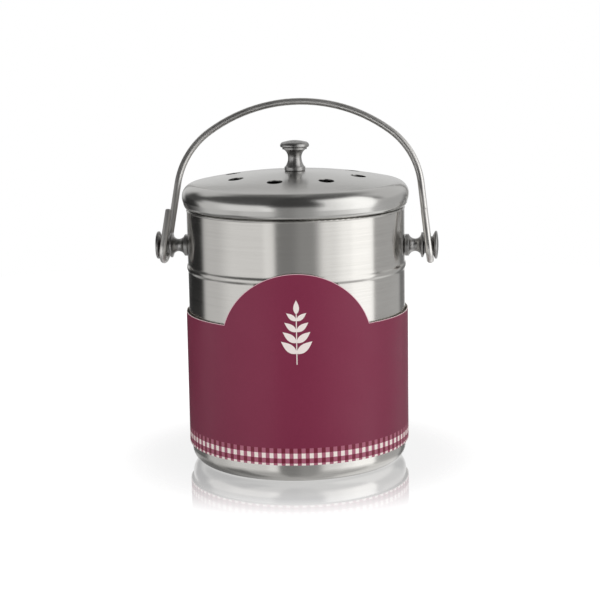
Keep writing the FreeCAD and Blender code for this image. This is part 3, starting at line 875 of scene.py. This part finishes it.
@dataclass
class Filter:
    """The moulded cage and the foam disc that lies in it."""

    rings: int = 56
    spokes: int = 168
    pit_mm: float = 0.55
    pore_mm: float = 1.6
    fine_pore_mm: float = 0.8
    pore_share: float = 0.55
    edge_mm: float = 0.7
    edge_cut: float = 0.3

    def build(self, frame: dict) -> None:
        """Dress the cage and stand a porous disc in the place of the plain one.
        """
        dress(frame, POLYPROPYLENE.make(), "filter_cage")
        disc = put_in_scene("charcoal_disc", self.foam_mesh())
        disc.data.materials.append(CHARCOAL_FOAM.make())
        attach(disc, "filter")
        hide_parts("carbon_filter")
        LOG.info("built %s with %d faces", disc.name, len(disc.data.polygons))

    def outline(self, radius: float, low: float, high: float) -> list[tuple[float, float]]:
        """Give the disc's section from the middle of its underside to the middle of its top.

        Args:
            radius: the disc's radius in metres.
            low: height of its underside.
            high: height of its top.

        Returns:
            Radius and height of each ring, in order.
        """
        soft = self.edge_mm * MM
        cut = soft * self.edge_cut
        steps = [radius * step / self.rings for step in range(1, self.rings)]
        under = [(reach, low) for reach in steps if reach < radius - soft]
        rim = [
            (radius - cut, low + cut),
            (radius, low + soft),
            (radius, (low + high) / 2.0),
            (radius, high - soft),
            (radius - cut, high - cut),
        ]
        over = [(reach, high) for reach in reversed(steps) if reach < radius - soft]
        return under + rim + over

    def foam_mesh(self) -> Mesh:
        """Spin the section and sink pores into it.

        Returns:
            The disc's mesh.
        """
        low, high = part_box("carbon_filter")
        radius = (high[0] - low[0]) / 2.0
        shape = bmesh.new()
        loops = []
        for reach, height in self.outline(radius, low[2], high[2]):
            loop = []
            for spoke in range(self.spokes):
                turn = math.tau * spoke / self.spokes
                loop.append(shape.verts.new((reach * math.cos(turn), reach * math.sin(turn), height)))
            loops.append(loop)
        for inner, outer in zip(loops, loops[1:]):
            for spoke in range(self.spokes):
                after = (spoke + 1) % self.spokes
                shape.faces.new((inner[spoke], inner[after], outer[after], outer[spoke]))
        for loop, height in ((loops[0], low[2]), (loops[-1], high[2])):
            middle = shape.verts.new((0.0, 0.0, height))
            for spoke in range(self.spokes):
                shape.faces.new((loop[spoke], loop[(spoke + 1) % self.spokes], middle))
        bmesh.ops.recalc_face_normals(shape, faces=shape.faces)
        self.sink_pores(shape)
        mesh = plain_mesh("charcoal_disc", shape)
        mesh.shade_smooth()
        return mesh

    def sink_pores(self, shape: bmesh.types.BMesh) -> None:
        """Pull points inwards by a coarse and a fine pattern, so the faces look like cut foam.

        Args:
            shape: the disc.
        """
        shape.normal_update()
        for point in shape.verts:
            coarse = noise.cell(point.co / (self.pore_mm * MM))
            fine = noise.noise(point.co / (self.fine_pore_mm * MM))
            sunk = self.pore_share * coarse + (1.0 - self.pore_share) * (1.0 + fine) / 2.0
            point.co -= point.normal * max(0.0, self.pit_mm * MM * sunk)


@dataclass
class Sleeve:
    """The printed card sleeve and the leaf sprig on its tab."""

    turn_deg: float = SLEEVE_TURN_DEG
    wrap_mm: float = 67.69
    foot_mm: float = 72.0
    pairs: int = 4
    step_mm: float = 6.4
    leaf_mm: float = 11.5
    leaf_width_mm: float = 4.6
    leaf_fullness: float = 0.8
    leaf_points: tuple[int, int] = (15, 5)
    leaf_leans_deg: tuple[float, float] = (-38.0, -142.0)
    leaf_taper: float = 0.12
    tip_share: float = 0.72
    tip_steps: float = 0.6
    stem_mm: float = 0.55
    stem_points: tuple[int, int] = (24, 3)

    def build(self, frame: dict) -> None:
        """Dress the sleeve and print the sprig on it.
        """
        dress(frame, CARD.make(), "label_sleeve")
        ink = WHITE_INK.make()
        sprig = put_in_scene("printed_sprig", bpy.data.meshes.new("printed_sprig"))
        values = {
            "Pairs": self.pairs,
            "Step": self.step_mm * MM,
            "Leaf Length": self.leaf_mm * MM,
            "Leaf Width": self.leaf_width_mm * MM,
            "Stem Width": self.stem_mm * MM,
            "Foot Height": self.foot_mm * MM,
            "Wrap Radius": self.wrap_mm * MM,
            "Turn": math.radians(self.turn_deg),
        }
        grow(sprig, self.sprig_tree(ink), values)
        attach(sprig, "bin")
        LOG.info("printed %s with %d faces", sprig.name, len(sprig.data.polygons))

    def sprig_tree(self, ink: Material) -> NodeTree:
        """Build the tree that sets leaves along a stem and wraps them round the sleeve.

        Args:
            ink: the material of the print.

        Returns:
            The geometry tree.
        """
        tree, given = geometry_tree("leaf_sprig", {
            "Pairs": "Int",
            "Step": "Float",
            "Leaf Length": "Float",
            "Leaf Width": "Float",
            "Stem Width": "Float",
            "Foot Height": "Float",
            "Wrap Radius": "Float",
            "Turn": "Float",
        })
        leaf = self.leaf_shape(tree, given)
        offset = add_node(tree, "ShaderNodeCombineXYZ", {2: given["Step"]})
        joints = add_node(tree, "GeometryNodeMeshLine", {
            "Count": given["Pairs"],
            "Offset": offset,
            "Start Location": offset,
        })
        order = add_node(tree, "GeometryNodeInputIndex")
        small = add_node(tree, "ShaderNodeMath", {
            0: order,
            1: -self.leaf_taper,
            2: 1.0,
        }, operation="MULTIPLY_ADD")
        pieces = []
        for lean in self.leaf_leans_deg:
            pieces.append(add_node(tree, "GeometryNodeInstanceOnPoints", {
                "Points": joints,
                "Instance": leaf,
                "Rotation": (0.0, math.radians(lean), 0.0),
                "Scale": small,
            }))
        count = add_node(tree, "ShaderNodeMath", {0: given["Pairs"], 1: self.tip_steps}, operation="ADD")
        height = add_node(tree, "ShaderNodeMath", {0: count, 1: given["Step"]}, operation="MULTIPLY")
        top = add_node(tree, "ShaderNodeCombineXYZ", {2: height})
        pieces.append(add_node(tree, "GeometryNodeTransform", {
            "Geometry": leaf,
            "Translation": top,
            "Rotation": (0.0, math.radians(-90.0), 0.0),
            "Scale": (self.tip_share, self.tip_share, self.tip_share),
        }))
        stem = add_node(tree, "GeometryNodeMeshGrid", {
            "Size X": height,
            "Size Y": given["Stem Width"],
            "Vertices X": self.stem_points[0],
            "Vertices Y": self.stem_points[1],
        })
        half = add_node(tree, "ShaderNodeMath", {0: height, 1: 0.5}, operation="MULTIPLY")
        raised = add_node(tree, "ShaderNodeCombineXYZ", {2: half})
        pieces.append(add_node(tree, "GeometryNodeTransform", {
            "Geometry": stem,
            "Rotation": (math.radians(90.0), math.radians(-90.0), 0.0),
            "Translation": raised,
        }))
        joined = add_node(tree, "GeometryNodeJoinGeometry")
        for piece in pieces:
            tree.links.new(piece.outputs[0], joined.inputs[0])
        plain = add_node(tree, "GeometryNodeRealizeInstances", {0: joined})
        wrapped = self.wrap(tree, given, plain)
        inked = add_node(tree, "GeometryNodeSetMaterial", {"Geometry": wrapped, "Material": ink})
        add_node(tree, "NodeGroupOutput", {0: inked})
        return tree

    def leaf_shape(self, tree: NodeTree, given: NodeOutputs) -> Node:
        """Shape one leaf in the X and Z plane, with its stalk at the origin.

        Args:
            tree: the geometry tree.
            given: the tree's inputs.

        Returns:
            A node that gives the leaf's mesh.
        """
        grid = add_node(tree, "GeometryNodeMeshGrid", {
            "Size X": 1.0,
            "Size Y": 1.0,
            "Vertices X": self.leaf_points[0],
            "Vertices Y": self.leaf_points[1],
        })
        where = add_node(tree, "GeometryNodeInputPosition")
        parts = add_node(tree, "ShaderNodeSeparateXYZ", {0: where}).outputs
        share = add_node(tree, "ShaderNodeMath", {0: parts["X"], 1: 0.5}, operation="ADD")
        lean = add_node(tree, "ShaderNodeMath", {0: share, 1: self.leaf_fullness}, operation="POWER")
        turn = add_node(tree, "ShaderNodeMath", {0: lean, 1: math.pi}, operation="MULTIPLY")
        swell = add_node(tree, "ShaderNodeMath", {0: turn}, operation="SINE")
        wide = add_node(tree, "ShaderNodeMath", {0: swell, 1: given["Leaf Width"]}, operation="MULTIPLY")
        across = add_node(tree, "ShaderNodeMath", {0: wide, 1: parts["Y"]}, operation="MULTIPLY")
        long = given["Leaf Length"]
        along = add_node(tree, "ShaderNodeMath", {0: share, 1: long}, operation="MULTIPLY")
        spot = add_node(tree, "ShaderNodeCombineXYZ", {0: along, 2: across})
        return add_node(tree, "GeometryNodeSetPosition", {"Geometry": grid, "Position": spot})

    def wrap(self, tree: NodeTree, given: NodeOutputs, flat: Node) -> Node:
        """Wrap the flat sprig round the sleeve at its height and turn.

        Args:
            tree: the geometry tree.
            given: the tree's inputs.
            flat: the node of the flat sprig.

        Returns:
            A node that gives the wrapped sprig.
        """
        radius = given["Wrap Radius"]
        where = add_node(tree, "GeometryNodeInputPosition")
        parts = add_node(tree, "ShaderNodeSeparateXYZ", {0: where}).outputs
        arc = add_node(tree, "ShaderNodeMath", {0: parts["X"], 1: radius}, operation="DIVIDE")
        angle = add_node(tree, "ShaderNodeMath", {0: arc, 1: given["Turn"]}, operation="ADD")
        front = add_node(tree, "ShaderNodeMath", {0: radius, 1: -1.0}, operation="MULTIPLY")
        foot = given["Foot Height"]
        height = add_node(tree, "ShaderNodeMath", {0: parts["Z"], 1: foot}, operation="ADD")
        facing = add_node(tree, "ShaderNodeCombineXYZ", {1: front, 2: height})
        spot = add_node(tree, "ShaderNodeVectorRotate", {
            "Vector": facing,
            "Angle": angle,
        }, rotation_type="Z_AXIS")
        return add_node(tree, "GeometryNodeSetPosition", {"Geometry": flat, "Position": spot})


@dataclass(frozen=True)
class TentCard:
    """One panel of the tent: its sides, its soft edge's width, all in degrees, and its brightness."""

    left: float
    right: float
    low: float
    high: float
    level: float
    edge: float

    def share(self, bearing: float, height: float) -> float:
        """Tell how far the panel covers one direction.

        Args:
            bearing: degrees from the front, growing to the right.
            height: degrees above the level.

        Returns:
            Zero off the panel, one on it.
        """
        middle = (self.left + self.right) / 2.0
        half = (self.right - self.left) / 2.0
        away = abs((bearing - middle + 180.0) % 360.0 - 180.0)
        inside = min(half - away, height - self.low, self.high - height)
        step = min(1.0, max(0.0, inside / self.edge + 0.5))
        return step * step * (3.0 - 2.0 * step)


@dataclass(frozen=True)
class Lamp:
    """One soft square lamp that faces the bin, with its place and side in metres and its watts."""

    name: str
    spot: tuple[float, float, float]
    side: float
    power: float
    aim_height: float = 0.09

    def hang(self) -> None:
        """Hang the lamp where neither the camera nor a mirror shows it."""
        data = bpy.data.lights.new(self.name, "AREA")
        data.shape = "SQUARE"
        data.size = self.side
        data.energy = self.power
        lamp = put_in_scene(self.name, data)
        lamp.location = self.spot
        aim = Vector((0.0, 0.0, self.aim_height)) - Vector(self.spot)
        lamp.rotation_euler = aim.to_track_quat("-Z", "Y").to_euler()
        lamp.visible_glossy = False
        lamp.visible_camera = False


@dataclass
class Studio:
    """White floor, soft lamps, and a tent of cards that the steel mirrors, with sizes in metres."""

    plain_level: float = 0.5
    floor_radius: float = 0.75
    floor_segments: int = 128
    floor_gap: float = 0.0003
    floor_lit: str = "#E6E6E6"
    floor_seen: str = "#808080"
    mirror_span: tuple[float, float] = (0.076, 0.140)
    mirror_share: float = 0.60
    glow_span: tuple[float, float] = (0.12, 0.22)
    glow_near: float = 0.91
    tent_radius: float = 2.2
    tent_segments: int = 180
    tent_level: float = 1.0
    # Pale and dark cards, laid over one another in this order.
    cards: tuple[TentCard, ...] = (
        TentCard(-180, 180, -95, -26, 0.62, 12),
        TentCard(-150, -58, -70, -26, 0.44, 12),
        TentCard(-96, -60, -70, -26, 0.22, 12),
        TentCard(100, 260, 0, 95, 0.74, 8),
        TentCard(-180, 180, 54, 95, 0.20, 20),
        TentCard(-110, 104, 16, 95, 0.10, 12),
        TentCard(-86, -8, -26, 14, 1.08, 16),
        TentCard(-130, -74, -26, 14, 0.80, 24),
        TentCard(-27, -15, -26, 14, 1.32, 4),
        TentCard(28, 93, -26, 56, 1.2, 14),
        TentCard(51, 93, -26, 52, 1.56, 16),
        TentCard(65, 93, -26, 48, 1.76, 5),
        TentCard(93, 164, -26, 12, 0.58, 3),
        TentCard(144, 166, -26, 4, 0.22, 8),
        TentCard(94, 160, -70, -26, 1.05, 8),
        TentCard(-15.8, 20, -70, 24, 0.34, 5),
        TentCard(6, 28.5, -70, 24, 0.45, 12),
        TentCard(-22, 32, 5, 95, 0.07, 11),
        TentCard(-160, -104, -52, -22, 0.22, 11),
        TentCard(-160, -109, -18, -1, 0.03, 11),
        TentCard(-142, -109, -10, 12, 0.03, 11),
        TentCard(-137, -101, 6, 31, 0.08, 11),
    )
    lamps: tuple[Lamp, ...] = (
        Lamp("key_lamp", (1.0, -1.0, 0.95), 0.9, 11.0),
        Lamp("fill_lamp", (-1.1, -0.9, 0.6), 1.1, 4.5),
        Lamp("top_lamp", (0.0, 0.15, 1.5), 1.2, 5.0),
    )

    def build(self) -> None:
        """Set up the world, the tent, the floor and the lamps."""
        self.light_world()
        self.pitch_tent()
        self.lay_floor()
        for lamp in self.lamps:
            lamp.hang()

    def light_world(self) -> None:
        """Make the world white to the eye and to mirrors, and plain in level for what it lights."""
        world = bpy.data.worlds.new("studio")
        bpy.context.scene.world = world
        world.use_nodes = True
        tree = world.node_tree
        tree.nodes.clear()
        seen = seen_directly(tree)
        level = add_node(tree, "ShaderNodeMapRange", {0: seen, 3: self.plain_level, 4: 1.0})
        white = hex_colour("#FFFFFF")
        sky = add_node(tree, "ShaderNodeBackground", {"Color": white, "Strength": level})
        add_node(tree, "ShaderNodeOutputWorld", {"Surface": sky})

    def level_at(self, bearing: float, height: float) -> float:
        """Lay the cards over the tent's own level for one direction.

        Args:
            bearing: degrees from the front, growing to the right.
            height: degrees above the level.

        Returns:
            The brightness there.
        """
        level = self.tent_level
        for card in self.cards:
            level += (card.level - level) * card.share(bearing, height)
        return level

    def pitch_tent(self) -> None:
        """Build the ball-shaped tent that only mirrors see, with its brightness as an attribute."""
        shape = bmesh.new()
        sides = self.tent_segments
        bmesh.ops.create_uvsphere(
            shape, u_segments=sides, v_segments=sides // 2, radius=self.tent_radius
        )
        mesh = plain_mesh("reflection_tent", shape)
        levels = mesh.attributes.new("level", "FLOAT", "POINT")
        for number, point in enumerate(mesh.vertices):
            bearing = math.degrees(math.atan2(point.co.x, -point.co.y))
            height = math.degrees(math.asin(max(-1.0, min(1.0, point.co.z / self.tent_radius))))
            levels.data[number].value = self.level_at(bearing, height)
        material, tree = blank_material("reflection_cards")
        level = add_node(tree, "ShaderNodeAttribute", attribute_name="level")
        # The floor's sharp mirror sees the tent plain white; the satin metals see its cards.
        path = add_node(tree, "ShaderNodeLightPath")
        strength = add_node(tree, "ShaderNodeMath", {
            0: level.outputs["Fac"],
            1: path.outputs["Is Singular Ray"],
        }, operation="MAXIMUM")
        glow = add_node(tree, "ShaderNodeEmission", {"Strength": strength})
        add_node(tree, "ShaderNodeOutputMaterial", {"Surface": glow})
        tent = put_in_scene("reflection_tent", mesh)
        tent.data.materials.append(material)
        tent.visible_camera = False
        tent.visible_diffuse = False
        tent.visible_shadow = False
        tent.visible_transmission = False

    def lay_floor(self) -> None:
        """Lay the white acrylic floor: shadowed like card, white to the eye, a mirror near the foot."""
        shape = bmesh.new()
        sides = self.floor_segments
        bmesh.ops.create_circle(shape, cap_ends=True, segments=sides, radius=self.floor_radius)
        bmesh.ops.translate(shape, verts=shape.verts, vec=(0.0, 0.0, -self.floor_gap))
        mesh = plain_mesh("floor", shape)
        material, tree = blank_material("white_acrylic_floor")
        place = add_node(tree, "ShaderNodeTexCoord").outputs["Object"]
        reach = add_node(tree, "ShaderNodeVectorMath", {0: place}, operation="LENGTH")
        mirror = add_node(tree, "ShaderNodeMapRange", {
            0: reach,
            1: self.mirror_span[0],
            2: self.mirror_span[1],
            3: self.mirror_share,
            4: 0.0,
        }, interpolation_type="SMOOTHSTEP")
        open_floor = add_node(tree, "ShaderNodeMapRange", {
            0: reach,
            1: self.glow_span[0],
            2: self.glow_span[1],
            3: self.glow_near,
            4: 1.0,
        }, interpolation_type="SMOOTHSTEP")
        seen = seen_directly(tree)
        extra = add_node(tree, "ShaderNodeMath", {0: seen, 1: open_floor}, operation="MULTIPLY")
        shade = add_node(tree, "ShaderNodeMix", {
            0: seen,
            6: hex_colour(self.floor_lit),
            7: hex_colour(self.floor_seen),
        }, data_type="RGBA")
        card = add_node(tree, "ShaderNodeBsdfDiffuse", {"Color": shade})
        glow = add_node(tree, "ShaderNodeEmission", {"Strength": extra})
        lit = add_node(tree, "ShaderNodeAddShader", {0: card, 1: glow})
        gloss = add_node(tree, "ShaderNodeBsdfGlossy", {"Roughness": 0.0})
        both = add_node(tree, "ShaderNodeMixShader", {0: mirror, 1: lit, 2: gloss})
        add_node(tree, "ShaderNodeOutputMaterial", {"Surface": both})
        floor = put_in_scene("floor", mesh)
        floor.data.materials.append(material)
        floor.visible_glossy = False


@dataclass
class PhotoCamera:
    """The camera at the photograph's place and angle, its place in metres, its lens in millimetres."""

    distance: float = 1.0167
    height: float = 0.2847
    bearing_deg: float = 6.1
    pitch_deg: float = 79.56
    roll_deg: float = -0.98
    sensor: float = 36.0
    lens: float = 101.33
    shift: float = 0.0047
    near: float = 0.02

    def build(self) -> None:
        """Set up the camera and the plain view transform."""
        data = bpy.data.cameras.new("photo_camera")
        data.sensor_width = self.sensor
        data.lens = self.lens
        data.shift_x = self.shift
        data.clip_start = self.near
        camera = put_in_scene("photo_camera", data)
        bearing = math.radians(self.bearing_deg)
        spot = Vector((math.sin(bearing), -math.cos(bearing), 0.0)) * self.distance
        spot.z = self.height
        camera.matrix_world = (
            Matrix.Translation(spot)
            @ Matrix.Rotation(bearing, 4, "Z")
            @ Matrix.Rotation(math.radians(self.pitch_deg), 4, "X")
            @ Matrix.Rotation(math.radians(self.roll_deg), 4, "Z")
        )
        bpy.context.scene.camera = camera
        bpy.context.scene.view_settings.view_transform = "Standard"


def main() -> None:
    """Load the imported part, dress it and set up the studio."""
    logging.basicConfig(level=logging.INFO, format="%(message)s")
    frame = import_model()
    PhotoCamera().build()
    SteelBody().build(frame)
    Handle().build(frame)
    Lid().build(frame)
    Filter().build(frame)
    Sleeve().build(frame)
    Studio().build()


if __name__ == "__main__":
    main()
